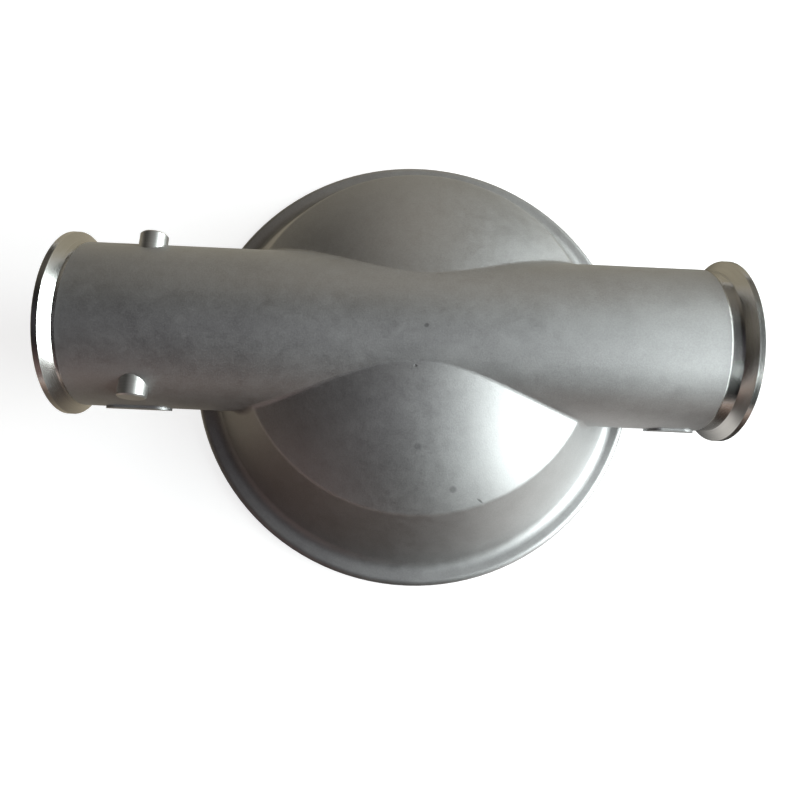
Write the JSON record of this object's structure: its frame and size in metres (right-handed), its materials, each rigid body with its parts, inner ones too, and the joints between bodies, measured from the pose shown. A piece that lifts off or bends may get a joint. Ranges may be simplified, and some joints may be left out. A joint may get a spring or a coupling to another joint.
{
  "type": "diaphragm pump liquid chamber",
  "caption": "Cast stainless liquid chamber of a sanitary diaphragm pump: domed bowl with a clamp rim, crossed by a tube with clamp ferrules and a ball stop bar.",
  "frame": {"origin": "centre of the bowl's mouth, on the plane of the mouth", "axes": "+Z from the mouth to the dome, +X along the tube from the inlet to the outlet"},
  "size_m": [0.3255, 0.242, 0.092],
  "materials": {
    "cast_steel": "bead blasted casting, with machined clamp ends",
    "turned_steel": "turned"
  },
  "bodies": {
    "root": {"liquid_chamber": "cast_steel", "ball_stop_bar": "turned_steel"}
  },
  "joints": []
}
